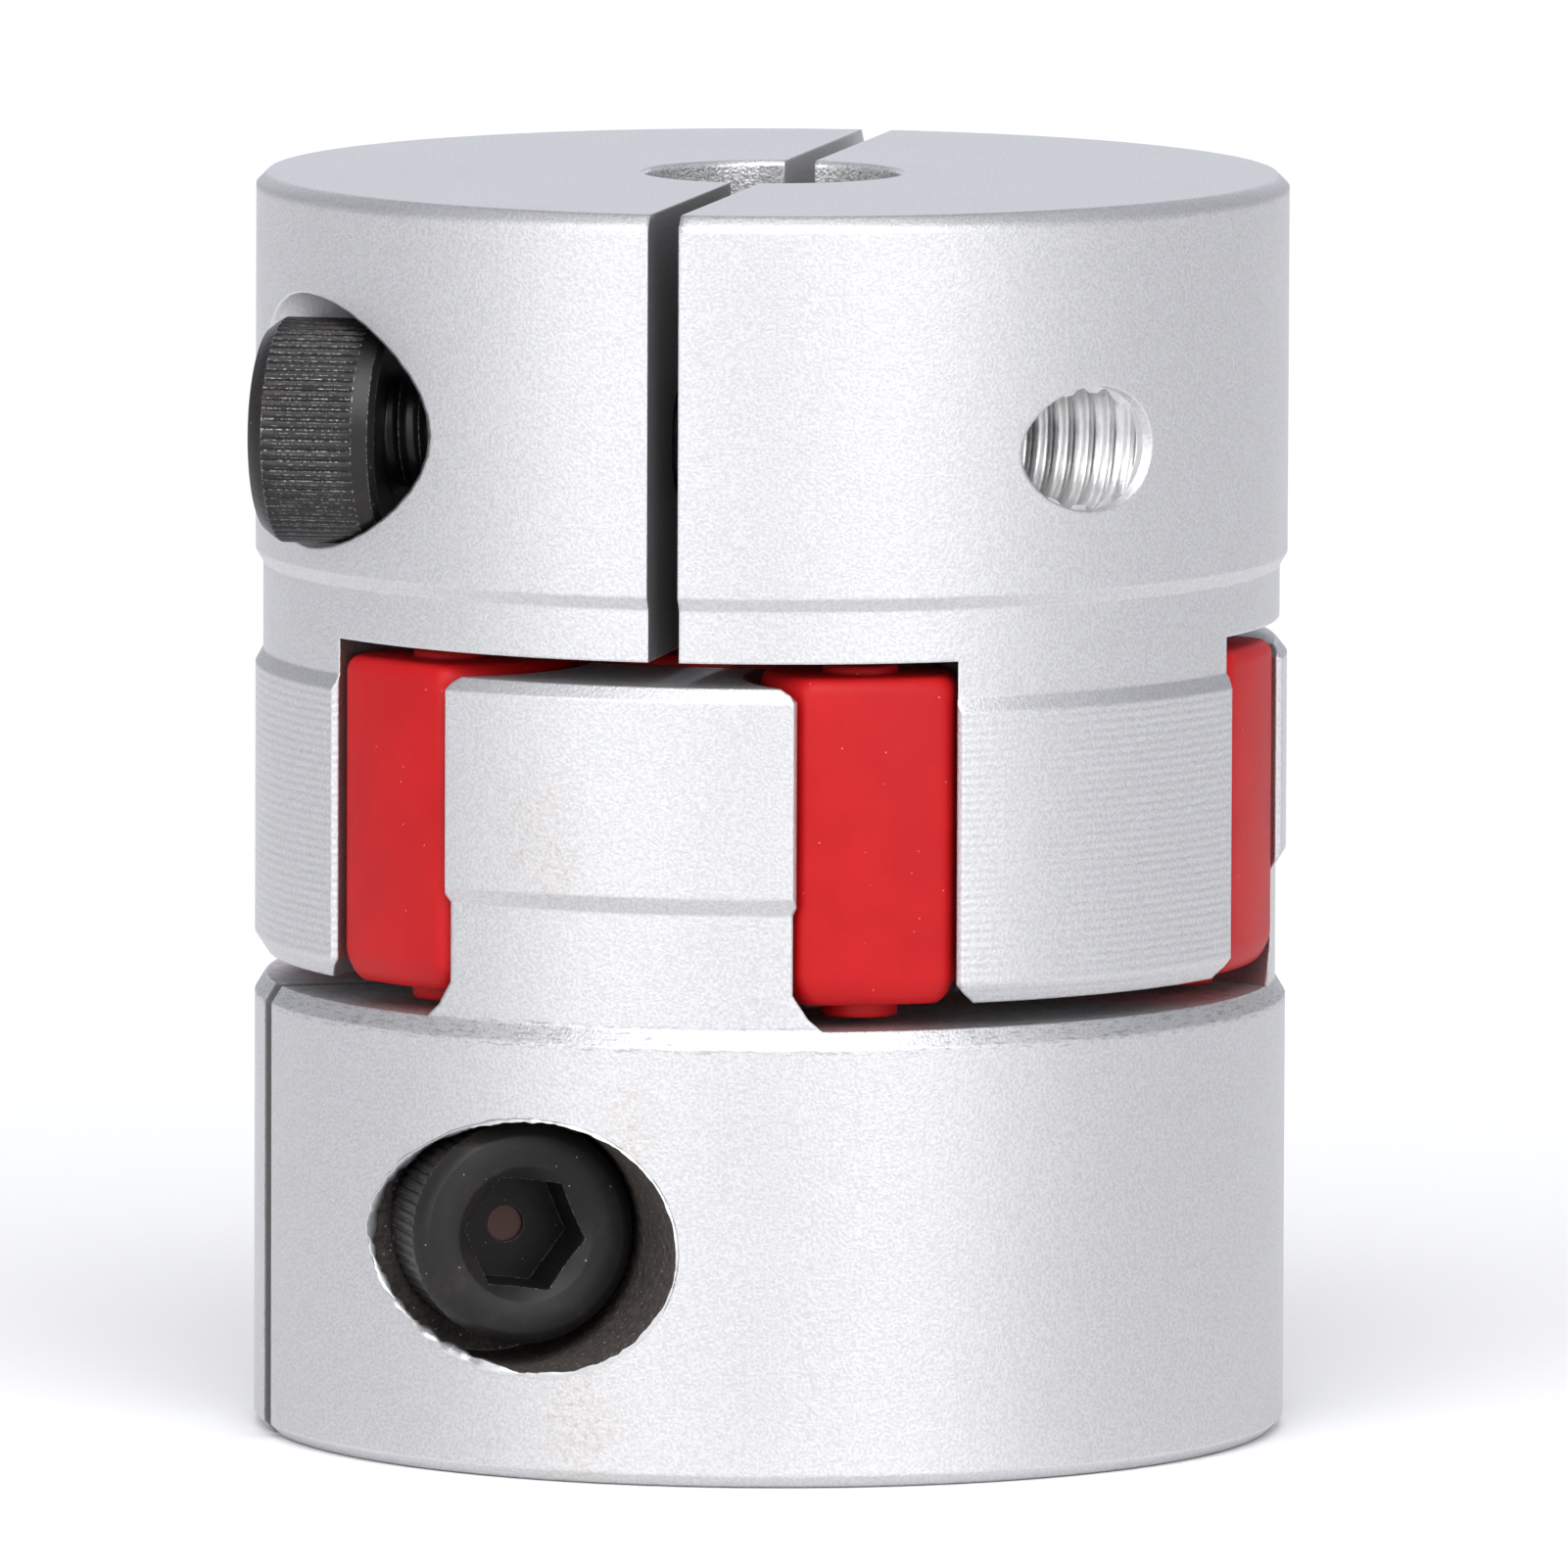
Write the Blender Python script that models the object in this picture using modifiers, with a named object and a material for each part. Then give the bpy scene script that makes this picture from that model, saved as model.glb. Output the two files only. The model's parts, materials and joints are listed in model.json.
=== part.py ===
"""Curved-jaw shaft coupling: two aluminium clamp hubs, an elastic spider and two clamp screws.

Units are metres and +Z runs along the shafts. The origin is on the shaft axis, in the lower
hub's end face. Angles are in degrees, anticlockwise from +X when seen from above.
"""

import math
from typing import NamedTuple

import bmesh
import bpy
from mathutils import Matrix, Vector

MM = 0.001

# Whole coupling
DIAMETER = 40.0 * MM
RADIUS = DIAMETER / 2
SHAFT_BORE_RADIUS = 5.0 * MM
ROOT_GAP = 14.1 * MM  # between the two hubs' root planes
REST_GAP = 0.3 * MM  # between pieces that rest on each other
FLANK_GAP = 0.25 * MM  # between a spider leg and a jaw flank

# Jaws and spider legs: three jaws on each hub, and a leg between every two neighbouring jaws
JAW_COUNT = 3
LEG_COUNT = 2 * JAW_COUNT
JAW_PITCH = 360.0 / JAW_COUNT
LEG_PITCH = 360.0 / LEG_COUNT
JAW_HEIGHT = 13.15 * MM
JAW_INNER_RADIUS = 11.8 * MM
LOWER_JAW_ANGLE = 12.0
UPPER_JAW_ANGLE = LOWER_JAW_ANGLE + LEG_PITCH
LEG_ANGLE = LOWER_JAW_ANGLE + LEG_PITCH / 2
LEG_CROWN_RADIUS = 16.2 * MM  # distance from the shaft axis at which a leg is widest
LEG_HALF_WIDTH = 3.75 * MM
FLANK_RADIUS = 6.5 * MM
JAW_EDGE_BREAK = 0.22 * MM  # chamfer along a jaw's outer edges

# Spider
SPIDER_THICKNESS = 12.2 * MM
SPIDER_RADIUS = 19.75 * MM
SPIDER_RING_RADIUS = JAW_INNER_RADIUS - REST_GAP
SPIDER_HOLE_RADIUS = 9.0 * MM
SPIDER_EDGE = 0.6 * MM  # how far a leg's outline draws in at the end faces
PIP_RADIUS = 1.45 * MM
PIP_CIRCLE_RADIUS = 16.5 * MM

# Clamp: a slit across each hub, closed by a cap screw that crosses it beside the bore
SLIT_WIDTH = 1.2 * MM
SLIT_OVERRUN = 0.6 * MM  # how far the saw runs past the root plane
SCREW_OFFSET = 12.8 * MM  # from the shaft axis to the screw's axis
SCREW_HEIGHT = 9.2 * MM  # from the end face to the screw's axis
SEAT_DISTANCE = 7.7 * MM  # from the slit's middle to the seat under the head
COUNTERBORE_RADIUS = 4.9 * MM
CLEARANCE_HOLE_RADIUS = 2.75 * MM
TAPPED_HOLE_RADIUS = 2.4 * MM
THREAD_ROOT_RADIUS = 2.1 * MM
THREAD_PITCH = 0.8 * MM
SCREW_LENGTH = 16.0 * MM
HEAD_RADIUS = 4.25 * MM
HEAD_HEIGHT = 5.0 * MM
SOCKET_WIDTH = 4.0 * MM  # across the hexagon's flats
SOCKET_TURN = -10.0  # from a corner to the shaft's direction
SOCKET_DEPTH = 3.0 * MM
SOCKET_MOUTH_RADIUS = 2.5 * MM
SOCKET_MOUTH_DEPTH = 0.4 * MM
SOCKET_SPOT_RADIUS = 0.68 * MM
SOCKET_SPOT_DEPTH = 0.25 * MM

# Fineness of the round surfaces
HUB_STEPS = 96
SCREW_STEPS = 32
HOLE_STEPS = 40
FLANK_STEPS = 7
SHARP_ANGLE = 30.0  # edges that turn more than this are shaded sharp
BEYOND = 5.0 * MM  # how far a cutter runs past what it cuts


class HubDesign(NamedTuple):
    """One hub in its own frame: the end face at z = 0 and the jaws pointing to +Z.

    root_levels are (height over the root plane, growth of the pocket) pairs, and tip_chamfer
    is (height, inset). The counterbore is cut a little off the screw's axis: its shift is
    (along the slit, along the shaft).
    """

    name: str
    body_length: float
    jaw_angle: float
    neck_start: float
    neck_end: float
    neck_depth: float
    first_shoulder: float
    second_shoulder: float
    root_levels: tuple
    tip_chamfer: tuple
    root_edge_break: float
    slit_angle: float
    counterbore_shift: tuple


LOWER_HUB = HubDesign(
    name="lower_hub",
    body_length=17.5 * MM,
    jaw_angle=LOWER_JAW_ANGLE,
    neck_start=16.85 * MM,
    neck_end=22.6 * MM,
    neck_depth=0.4 * MM,
    first_shoulder=0.65 * MM,
    second_shoulder=0.65 * MM,
    root_levels=((0.0, -0.9 * MM), (0.5 * MM, -0.45 * MM), (1.4 * MM, 0.0)),
    tip_chamfer=(0.5 * MM, 0.4 * MM),
    root_edge_break=0.0,
    slit_angle=-166.0,
    counterbore_shift=(0.25 * MM, -0.25 * MM),
)

# The upper hub is turned over about X, which changes the sign of its angles.
UPPER_HUB = HubDesign(
    name="upper_hub",
    body_length=17.1 * MM,
    jaw_angle=-UPPER_JAW_ANGLE,
    neck_start=14.6 * MM,
    neck_end=19.05 * MM,
    neck_depth=0.3 * MM,
    first_shoulder=0.5 * MM,
    second_shoulder=0.55 * MM,
    root_levels=((0.0, 0.0),),
    tip_chamfer=(0.75 * MM, 0.5 * MM),
    root_edge_break=0.35 * MM,
    slit_angle=102.0,
    counterbore_shift=(-0.2 * MM, -0.35 * MM),
)

LENGTH = LOWER_HUB.body_length + ROOT_GAP + UPPER_HUB.body_length
SPIDER_BOTTOM = LOWER_HUB.body_length + (ROOT_GAP - SPIDER_THICKNESS) / 2

# How far each screw's head stands off its seat: the lower one is tight, the upper one is backed
# out by five turns
LOWER_HEAD_LIFT = REST_GAP
UPPER_HEAD_LIFT = REST_GAP + 5 * THREAD_PITCH


def clear_scene():
    for obj in list(bpy.data.objects):
        bpy.data.objects.remove(obj, do_unlink=True)


def new_collection(name):
    collection = bpy.data.collections.new(name)
    bpy.context.scene.collection.children.link(collection)
    return collection


def new_material(name, colour, roughness, metallic):
    material = bpy.data.materials.new(name)
    material.use_nodes = True
    shader = material.node_tree.nodes["Principled BSDF"]
    shader.inputs["Base Color"].default_value = (*colour, 1.0)
    shader.inputs["Roughness"].default_value = roughness
    shader.inputs["Metallic"].default_value = metallic
    return material


def new_object(name, mesh, collection, parent=None, local=None):
    """An object that holds the mesh, placed by its matrix in the parent's frame."""
    obj = bpy.data.objects.new(name, mesh)
    collection.objects.link(obj)
    obj.parent = parent
    if local is not None:
        obj.matrix_local = local
    return obj


def hide_cutter(obj):
    obj.hide_render = True
    obj.display_type = "WIRE"
    return obj


def mesh_from(name, build):
    """A mesh with what build(bm) makes."""
    bm = bmesh.new()
    build(bm)
    mesh = bpy.data.meshes.new(name)
    bm.to_mesh(mesh)
    bm.free()
    return mesh


def turned(name, profile, closed, steps, collection, parent=None, local=None):
    """A solid of revolution about Z. The profile is (radius, z) points that run down its outer side."""

    def draw_profile(bm):
        corners = [bm.verts.new((radius, 0.0, z)) for radius, z in profile]
        for first, second in zip(corners, corners[1:]):
            bm.edges.new((first, second))
        if closed:
            bm.edges.new((corners[-1], corners[0]))

    obj = new_object(name, mesh_from(name, draw_profile), collection, parent, local)
    screw = obj.modifiers.new("Turn", "SCREW")
    screw.steps = steps
    screw.render_steps = steps
    screw.use_merge_vertices = True
    screw.merge_threshold = 0.01 * MM
    screw.use_smooth_shade = True
    return obj


def lofted(name, levels, collection, parent=None, local=None):
    """A solid through flat outlines: levels are (z, [(x, y), ...]) from bottom to top."""

    def skin(bm):
        rings = [[bm.verts.new((x, y, z)) for x, y in outline] for z, outline in levels]
        count = len(rings[0])
        for low, high in zip(rings, rings[1:]):
            for i in range(count):
                j = (i + 1) % count
                bm.faces.new((low[i], low[j], high[j], high[i]))
        bm.faces.new(reversed(rings[0]))
        bm.faces.new(rings[-1])

    mesh = mesh_from(name, skin)
    mesh.shade_smooth()
    mesh.set_sharp_from_angle(angle=math.radians(SHARP_ANGLE))
    return new_object(name, mesh, collection, parent, local)


def boolean(obj, cutter, operation="DIFFERENCE"):
    modifier = obj.modifiers.new(cutter.name, "BOOLEAN")
    modifier.operation = operation
    modifier.object = cutter
    modifier.solver = "EXACT"


def turn(degrees):
    return Matrix.Rotation(math.radians(degrees), 4, "Z")


def polar(radius, degrees):
    angle = math.radians(degrees)
    return radius * math.cos(angle), radius * math.sin(angle)


def flank(growth, inner_radius, outer_radius):
    """A leg's flank on its +Y side, with the leg pointing to +X, from the inner radius outwards.

    It is an arc of FLANK_RADIUS, grown by growth, and widest at LEG_CROWN_RADIUS.
    """
    centre_x = LEG_CROWN_RADIUS
    centre_y = LEG_HALF_WIDTH - FLANK_RADIUS
    radius = FLANK_RADIUS + growth
    reach = math.hypot(centre_x, centre_y)
    bearing = math.atan2(centre_y, centre_x)

    def arc_angle(distance):
        cosine = (distance**2 - reach**2 - radius**2) / (2 * radius * reach)
        return bearing + math.acos(cosine)

    start, end = arc_angle(inner_radius), arc_angle(outer_radius)
    points = []
    for step in range(FLANK_STEPS + 1):
        angle = start + (end - start) * step / FLANK_STEPS
        points.append((centre_x + radius * math.cos(angle), centre_y + radius * math.sin(angle)))
    return points


def arc_between(radius, start, end, steps):
    """Points on a circle about the axis, without the two ends."""
    return [polar(radius, start + (end - start) * step / steps) for step in range(1, steps)]


def bearing_of(point):
    return math.degrees(math.atan2(point[1], point[0]))


def turned_points(points, degrees, mirrored=False):
    """Points turned about the axis, after a mirror in the X axis if mirrored."""
    cosine, sine = polar(1.0, degrees)
    side = -1 if mirrored else 1
    return [(x * cosine - y * side * sine, x * sine + y * side * cosine) for x, y in points]


def pocket_outline(jaw_angle, growth, inner_radius):
    """What is cut away between a hub's jaws, in plan: the middle, and a window between each two.

    A window's sides are the flanks of the legs beside the jaws, with the working gap. Near the
    outside diameter they open at 45 degrees, which breaks the jaws' outer edges.
    """
    edge = flank(FLANK_GAP + growth, inner_radius, RADIUS - JAW_EDGE_BREAK)
    corner_x, corner_y = edge[-1]
    opening = 2 * JAW_EDGE_BREAK
    edge.append((corner_x + opening, corner_y + opening))
    edge.append((RADIUS + BEYOND, corner_y + opening))
    outer_radius = RADIUS + BEYOND
    half_jaw = LEG_PITCH / 2 - bearing_of(edge[0])
    outline = []
    for index in range(JAW_COUNT):
        jaw = jaw_angle + index * JAW_PITCH
        leg_before, leg_after = jaw - LEG_PITCH / 2, jaw + LEG_PITCH / 2
        outline += turned_points(edge[::-1], leg_before)
        outline += arc_between(inner_radius, jaw - half_jaw, jaw + half_jaw, 6)
        outline += turned_points(edge, leg_after, mirrored=True)
        outline += arc_between(outer_radius, leg_after, leg_after + LEG_PITCH, 6)
    return outline


def spider_outline(inset):
    """The spider in plan: a ring with crowned legs whose ends lie on the outside diameter."""
    ring_radius = SPIDER_RING_RADIUS - inset / 2
    end_radius = SPIDER_RADIUS - inset
    edge = flank(-inset, ring_radius, end_radius)
    neck, corner = bearing_of(edge[0]), bearing_of(edge[-1])
    outline = []
    for index in range(LEG_COUNT):
        leg = LEG_ANGLE + index * LEG_PITCH
        outline += turned_points(edge, leg, mirrored=True)
        outline += arc_between(end_radius, leg - corner, leg + corner, 5)
        outline += turned_points(edge[::-1], leg)
        outline += arc_between(ring_radius, leg + neck, leg + LEG_PITCH - neck, 4)
    return outline


def hub_profile(design):
    """The turned blank of a hub, from the jaw tips down the outside and up the bore."""
    tip = design.body_length + JAW_HEIGHT
    chamfer_height, chamfer_inset = design.tip_chamfer
    neck_radius = RADIUS - design.neck_depth
    end_chamfer = 0.45 * MM
    bore_chamfer = 0.15 * MM
    return [
        (RADIUS - chamfer_inset, tip),
        (RADIUS, tip - chamfer_height),
        (RADIUS, design.neck_end),
        (neck_radius, design.neck_end - design.second_shoulder),
        (neck_radius, design.neck_start + design.first_shoulder),
        (RADIUS, design.neck_start),
        (RADIUS, end_chamfer),
        (RADIUS - end_chamfer, 0.0),
        (SHAFT_BORE_RADIUS + bore_chamfer, 0.0),
        (SHAFT_BORE_RADIUS, bore_chamfer),
        (SHAFT_BORE_RADIUS, tip),
    ]


def pocket_cutter(design, cutters, parent):
    """Clears the space between the jaws down to the root plane, and chamfers the jaws' tips."""
    root = design.body_length
    tip = root + JAW_HEIGHT
    chamfer_height, chamfer_inset = design.tip_chamfer
    growths = [(root + height, growth) for height, growth in design.root_levels]
    growths.append((tip - chamfer_height, 0.0))
    growths.append((tip, chamfer_inset))
    growths.append((tip + BEYOND, chamfer_inset))
    levels = []
    for z, growth in growths:
        levels.append((z, pocket_outline(design.jaw_angle, growth, JAW_INNER_RADIUS + growth)))
    return hide_cutter(lofted(design.name + "_pocket_cutter", levels, cutters, parent))


def slit_cutter(design, cutters, parent):
    """The saw cut, right across the hub and its bore, along the slit's direction."""
    low, high = -BEYOND, design.body_length + SLIT_OVERRUN
    size = Vector((DIAMETER + 2 * BEYOND, SLIT_WIDTH, high - low))

    def block(bm):
        bmesh.ops.create_cube(bm, size=1.0, matrix=Matrix.Diagonal((*size, 1.0)))

    place = turn(design.slit_angle) @ Matrix.Translation((0.0, 0.0, (low + high) / 2))
    name = design.name + "_slit_cutter"
    return hide_cutter(new_object(name, mesh_from(name, block), cutters, parent, place))


def screw_place(design, shift=(0.0, 0.0)):
    """The screw's frame in the hub: the origin in the middle of the slit, +Z towards the head."""
    across = Matrix.Rotation(math.radians(-90.0), 4, "X")
    along_slit, along_shaft = shift
    centre = (SCREW_OFFSET + along_slit, 0.0, SCREW_HEIGHT + along_shaft)
    return turn(design.slit_angle) @ Matrix.Translation(centre) @ across


def round_cutter(name, radius, low, high, cutters, parent, place):
    """A plain cylinder along the place's Z axis."""
    profile = [(0.0, high), (radius, high), (radius, low), (0.0, low)]
    return hide_cutter(turned(name, profile, False, HOLE_STEPS, cutters, parent, place))


def screw_hole_cutters(design, cutters, parent):
    """Counterbore and clearance hole on the head's side of the slit, tapped hole on the other."""
    reach = RADIUS + BEYOND
    place = screw_place(design)
    head_place = screw_place(design, design.counterbore_shift)
    holes = (
        ("_counterbore", COUNTERBORE_RADIUS, SEAT_DISTANCE, reach, head_place),
        ("_clearance_hole", CLEARANCE_HOLE_RADIUS, 0.0, SEAT_DISTANCE + BEYOND, place),
        ("_tapped_hole", TAPPED_HOLE_RADIUS, -reach, SLIT_WIDTH / 4, place),
    )
    for label, radius, low, high, frame in holes:
        yield round_cutter(design.name + label, radius, low, high, cutters, parent, frame)


def root_edge_cutter(design, cutters, parent):
    """The edge break round the root plane, which stops short of the jaws."""
    root = design.body_length
    size = design.root_edge_break
    ring = [
        (RADIUS + BEYOND, root + BEYOND),
        (RADIUS + BEYOND, root - size),
        (RADIUS - design.neck_depth + size, root - size),
        (RADIUS - design.neck_depth - size, root + size),
        (RADIUS - design.neck_depth - size, root + BEYOND),
    ]
    name = design.name + "_root_edge_cutter"
    cutter = turned(name, ring, True, HUB_STEPS, cutters, parent)
    stop_short = 1.8 * MM
    outline = pocket_outline(design.jaw_angle, -stop_short, 0.7 * RADIUS)
    window_name = design.name + "_root_edge_window"
    levels = [(root - BEYOND, outline), (root + BEYOND / 2, outline)]
    window = hide_cutter(lofted(window_name, levels, cutters, parent))
    boolean(cutter, window, "INTERSECT")
    return hide_cutter(cutter)


def build_hub(design, parts, cutters, frame, material):
    """A turned blank, cut into three jaws, slit for the clamp and drilled for its screw."""
    hub = turned(design.name, hub_profile(design), True, HUB_STEPS, parts, frame)
    hub.data.materials.append(material)
    boolean(hub, pocket_cutter(design, cutters, frame))
    if design.root_edge_break > 0:
        boolean(hub, root_edge_cutter(design, cutters, frame))
    boolean(hub, slit_cutter(design, cutters, frame))
    for cutter in screw_hole_cutters(design, cutters, frame):
        boolean(hub, cutter)
    return hub


def spider_pips(cutters, parent):
    """Low round pips on both ends of each leg, which hold the spider off the hubs' root planes."""
    height = ROOT_GAP - 2 * REST_GAP

    def pins(bm):
        for index in range(LEG_COUNT):
            x, y = polar(PIP_CIRCLE_RADIUS, LEG_ANGLE + index * LEG_PITCH)
            bmesh.ops.create_cone(
                bm,
                cap_ends=True,
                segments=16,
                radius1=PIP_RADIUS,
                radius2=PIP_RADIUS,
                depth=height,
                matrix=Matrix.Translation((x, y, 0.0)),
            )

    name = "spider_pips"
    middle = Matrix.Translation((0.0, 0.0, SPIDER_THICKNESS / 2))
    return hide_cutter(new_object(name, mesh_from(name, pins), cutters, parent, middle))


def build_spider(parts, cutters, frame, material):
    """The elastic star: crowned legs on a ring, with chamfered lower and rounded upper edges."""
    top = SPIDER_THICKNESS
    insets = [
        (0.0, SPIDER_EDGE),
        (1.2 * MM, 0.0),
        (top - 1.1 * MM, 0.0),
        (top - 0.5 * MM, SPIDER_EDGE * 0.25),
        (top, SPIDER_EDGE * 0.85),
    ]
    levels = [(z, spider_outline(inset)) for z, inset in insets]
    spider = lofted("spider", levels, parts, frame)
    spider.data.materials.append(material)
    boolean(spider, spider_pips(cutters, frame), "UNION")
    eye = round_cutter("spider_eye", SPIDER_HOLE_RADIUS, -BEYOND, top + BEYOND, cutters, frame, None)
    boolean(spider, eye)
    return spider


def socket_cutters(name, cutters, parent):
    """The hexagon socket, with the round spot that its punch leaves at the bottom."""
    floor = HEAD_HEIGHT - SOCKET_DEPTH
    shapes = (
        ("_socket", 6, SOCKET_WIDTH / math.sqrt(3), floor),
        ("_socket_spot", 20, SOCKET_SPOT_RADIUS, floor - SOCKET_SPOT_DEPTH),
    )
    for label, sides, radius, low in shapes:
        depth = HEAD_HEIGHT + BEYOND - low
        place = turn(SOCKET_TURN) @ Matrix.Translation((0.0, 0.0, low + depth / 2))

        def prism(bm):
            bmesh.ops.create_cone(
                bm,
                cap_ends=True,
                segments=sides,
                radius1=radius,
                radius2=radius,
                depth=depth,
                matrix=place,
            )

        yield hide_cutter(new_object(name + label, mesh_from(name + label, prism), cutters, parent))


def build_screw(design, name, lift, parts, cutters, hub_frame, material):
    """A socket cap screw on its axis. Its origin is under the head, where the head meets the seat."""
    frame = bpy.data.objects.new(name + "_frame", None)
    parts.objects.link(frame)
    frame.parent = hub_frame
    frame.matrix_local = screw_place(design) @ Matrix.Translation((0.0, 0.0, SEAT_DISTANCE + lift))
    edge = 0.45 * MM
    profile = [
        (0.0, HEAD_HEIGHT - SOCKET_MOUTH_DEPTH),
        (SOCKET_MOUTH_RADIUS, HEAD_HEIGHT),
        (HEAD_RADIUS - edge, HEAD_HEIGHT),
        (HEAD_RADIUS - 0.3 * edge, HEAD_HEIGHT - 0.3 * edge),
        (HEAD_RADIUS, HEAD_HEIGHT - edge),
        (HEAD_RADIUS, 0.8 * edge),
        (HEAD_RADIUS - 0.8 * edge, 0.0),
        (THREAD_ROOT_RADIUS + 0.3 * MM, 0.0),
        (THREAD_ROOT_RADIUS, -0.4 * MM),
        (THREAD_ROOT_RADIUS, 0.6 * MM - SCREW_LENGTH),
        (THREAD_ROOT_RADIUS - 0.6 * MM, -SCREW_LENGTH),
        (0.0, -SCREW_LENGTH),
    ]
    screw = turned(name, profile, False, SCREW_STEPS, parts, frame)
    screw.data.materials.append(material)
    for cutter in socket_cutters(name, cutters, frame):
        boolean(screw, cutter)
    return screw


def new_frame(name, collection, place):
    frame = bpy.data.objects.new(name, None)
    collection.objects.link(frame)
    frame.matrix_world = place
    return frame


def main():
    clear_scene()
    parts = new_collection("jaw_coupling")
    cutters = new_collection("cutters")
    aluminium = new_material("anodised_aluminium", (0.80, 0.81, 0.83), 0.42, 0.9)
    red_elastomer = new_material("red_polyurethane", (0.62, 0.02, 0.025), 0.5, 0.0)
    black_steel = new_material("black_oxide_steel", (0.03, 0.028, 0.027), 0.38, 0.8)

    turned_over = Matrix.Translation((0.0, 0.0, LENGTH)) @ Matrix.Rotation(math.pi, 4, "X")
    lower_frame = new_frame("lower_hub_frame", parts, Matrix.Identity(4))
    upper_frame = new_frame("upper_hub_frame", parts, turned_over)
    spider_frame = new_frame("spider_frame", parts, Matrix.Translation((0.0, 0.0, SPIDER_BOTTOM)))

    build_hub(LOWER_HUB, parts, cutters, lower_frame, aluminium)
    build_hub(UPPER_HUB, parts, cutters, upper_frame, aluminium)
    build_spider(parts, cutters, spider_frame, red_elastomer)
    build_screw(LOWER_HUB, "lower_clamp_screw", LOWER_HEAD_LIFT, parts, cutters, lower_frame, black_steel)
    build_screw(UPPER_HUB, "upper_clamp_screw", UPPER_HEAD_LIFT, parts, cutters, upper_frame, black_steel)


main()
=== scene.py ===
"""The looks of a jaw coupling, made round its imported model.

Lengths are in metres unless a comment says millimetres, and +Z runs along the shafts. The hubs
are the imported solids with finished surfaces. The clamp screws, the spider, the threads of the
tapped holes and the burr round the lower counterbore are made here.
"""

import json
import math
from typing import NamedTuple

import bmesh
import bpy
from mathutils import Matrix, Vector, noise


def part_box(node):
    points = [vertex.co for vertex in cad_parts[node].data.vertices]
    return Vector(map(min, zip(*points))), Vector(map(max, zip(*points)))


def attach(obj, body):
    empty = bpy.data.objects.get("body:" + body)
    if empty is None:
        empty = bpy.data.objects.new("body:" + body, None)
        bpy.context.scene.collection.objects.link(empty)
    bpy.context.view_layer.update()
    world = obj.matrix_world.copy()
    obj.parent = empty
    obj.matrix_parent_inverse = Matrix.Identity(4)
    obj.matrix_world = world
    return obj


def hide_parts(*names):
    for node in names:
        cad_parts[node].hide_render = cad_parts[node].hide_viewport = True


MM = 0.001

# Clamp screws, in a screw's own frame: +Z towards the head, and z = 0 under the head
HEAD_HEIGHT = 5.0 * MM
HEAD_RADIUS = 4.33 * MM
SHANK_LENGTH = 16.0 * MM
THREAD_PITCH = 0.8 * MM
SCREW_THREAD = (2.10 * MM, 2.35 * MM)  # root and crest radius
THREAD_HALF_FOOT = 0.27  # from the middle of a ridge to its foot, in turns
THREAD_FLANK = 0.24  # along which a ridge's side rises, in turns
TIP_INSET = 0.35 * MM  # of the shank's chamfered tip, from the thread's root
SHANK_OVERLAP = 0.3 * MM  # how far the shank reaches into the head
KNURL_TEETH = 66
KNURL_DEPTH = 0.09 * MM
KNURL_SPAN = (0.85 * MM, 4.35 * MM)  # along the head
SOCKET_CORNER_RADIUS = 2.38 * MM
SOCKET_DEPTH = 3.5 * MM
SOCKET_TURN = -7.0  # degrees, from a corner to the shaft's direction
SOCKET_MOUTH_RADIUS = 2.62 * MM
SOCKET_SPOT_RADIUS = 0.7 * MM
SOCKET_SPOT_DEPTH = 0.3 * MM  # below the socket's floor

# Tapped holes: the thread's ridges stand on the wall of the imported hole
HOLE_THREAD = (2.38 * MM, 2.14 * MM)  # root and crest radius
THREAD_PLAY = 0.045  # share of a turn by which its grooves are wider than the screw's ridges
LINING_RADIUS = 2.5 * MM  # its outside, in the hub's metal
SLIT_HALF_WIDTH = 0.6 * MM
FLUSH_GAP = 0.02 * MM  # from the slit's wall to the thread's inner end
RIDGE_START = 0.32 * MM  # from the hub's outside to the thread's outer end

# Counterbores: their axes are a little off the screws' axes (along the slit, along the shaft)
COUNTERBORE_RADIUS = 4.9 * MM
BURR_SIZE = 0.11  # mean thickness of the burr round the lower one, from its middle, in mm
BURR_RAGGEDNESS = 0.07  # how much that varies, in mm
LOWER_COUNTERBORE_SHIFT = (0.25 * MM, -0.25 * MM)
UPPER_COUNTERBORE_SHIFT = (-0.2 * MM, 0.35 * MM)

# Spider
LEG_COUNT = 6
LEG_ANGLE = 42.0  # degrees, from +X to the first leg
LEG_CROWN = 16.2 * MM  # distance from the shaft axis at which a leg is widest
LEG_HALF_WIDTH = 3.71 * MM
FLANK_RADIUS = 6.46 * MM
LEG_END_RADIUS = 19.68 * MM
LEG_CORNER = 0.36 * MM  # rounding of a leg's outer corners
STAR_RING_RADIUS = 11.5 * MM
STAR_EYE_RADIUS = 9.0 * MM
FOOT_GAP = 0.65 * MM  # how far the pips stand out below the legs
TOP_GAP = 0.32 * MM  # and above them
# Rounded edges of the legs, in mm: (height over their underside, inset), (depth under their top, inset)
STAR_FOOT = ((0.0, 0.62), (0.10, 0.48), (0.35, 0.28), (0.8, 0.08), (1.2, 0.0))
STAR_TOP = ((0.6, 0.0), (0.4, 0.03), (0.24, 0.10), (0.10, 0.22), (0.03, 0.33), (0.0, 0.44))
PIP_RADIUS = 1.45 * MM
PIP_CIRCLE = 16.5 * MM
PIP_EDGE = ((0.0, 0.15), (0.05, 0.04), (0.15, 0.0))  # (distance from a pip's end, inset), in mm
FLANK_STEPS = 14
CORNER_STEPS = 5
END_STEPS = 4
WEB_STEPS = 5

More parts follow.
